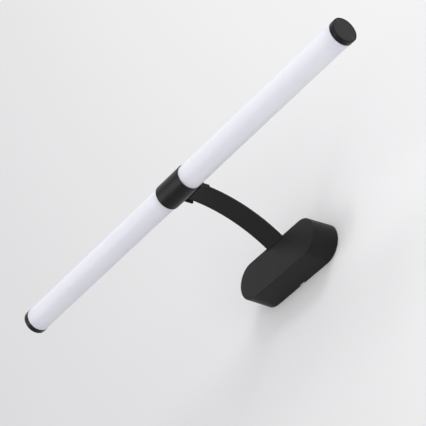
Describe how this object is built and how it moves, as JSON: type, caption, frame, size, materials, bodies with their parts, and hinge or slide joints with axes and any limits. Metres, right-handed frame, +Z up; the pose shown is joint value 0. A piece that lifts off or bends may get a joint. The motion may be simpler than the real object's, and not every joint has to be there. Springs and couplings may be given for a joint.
{
  "type": "wall picture light",
  "caption": "Slim wall picture light: opal LED tube held at its middle by a collar that tilts on a hinge at the end of a curved arm, with a stadium-shaped wall box.",
  "frame": {"origin": "middle of the wall box's back, on the wall: the middle of the wall bracket's back face", "axes": "+X along the tube to the right as seen from the room, +Y into the wall, +Z up"},
  "size_m": [0.54, 0.154, 0.0864],
  "materials": {
    "black_paint": "matte black powder coat",
    "black_plastic": "satin black moulded plastic",
    "opal_plastic": "opal white diffuser, softly glossy",
    "steel": "zinc plated steel",
    "black_steel": "black oxide steel, lightly oiled",
    "aluminium": "mill finish extrusion",
    "board_white": "white solder mask with LEDs",
    "board_green": "green circuit board",
    "white_plastic": "moulded insulating plastic",
    "rubber": "black rubber",
    "winding": "tape wound winding and dipped capacitor",
    "lead_black": "black sleeved twin lead",
    "lead_white": "white insulation",
    "lead_brown": "brown insulation",
    "lead_earth": "green and yellow insulation"
  },
  "bodies": {
    "base": {"base_cover": "black_paint", "arm_channel": "black_paint", "arm_strip": "black_paint", "arm_knuckle": "black_paint", "input_capacitor": "black_plastic", "output_capacitor": "black_plastic", "supply_capacitor": "black_plastic", "driver_chip": "black_plastic", "bridge_rectifier": "black_plastic", "wall_bracket": "steel", "driver_screw_1": "steel", "driver_screw_2": "steel", "terminal_fixing_screw": "steel", "terminal_screw_1": "steel", "terminal_screw_2": "steel", "terminal_screw_3": "steel", "terminal_screw_4": "steel", "terminal_screw_5": "steel", "terminal_screw_6": "steel", "earth_lug": "steel", "earth_screw": "steel", "arm_foot_screw_1": "steel", "arm_foot_screw_2": "steel", "arm_foot_screw_3": "steel", "hinge_washer_left": "black_steel", "hinge_washer_right": "black_steel", "driver_board": "board_green", "driver_tray": "white_plastic", "terminal_block": "white_plastic", "fuse_resistor": "white_plastic", "cable_entry_grommet": "rubber", "transformer": "winding", "film_capacitor": "winding", "arm_lead": "lead_black", "neutral_wire": "lead_white", "live_wire": "lead_brown", "earth_wire": "lead_earth"},
    "head": {"hinge_pin": "black_steel", "hinge_yoke": "black_paint", "yoke_screw_left": "black_steel", "yoke_screw_right": "black_steel", "collar": "black_paint", "diffuser_tube": "opal_plastic", "led_carrier": "aluminium", "led_board_left": "board_white", "led_board_right": "board_white", "head_lead": "lead_black", "end_cap_left": "black_plastic", "end_cap_right": "black_plastic"}
  },
  "joints": [
    {"name": "head_tilt", "type": "hinge", "parent": "base", "child": "head", "pos_m": [0, -0.1226, 0.05283], "axis": [1, 0, 0], "range_deg": [-90, 90]}
  ]
}
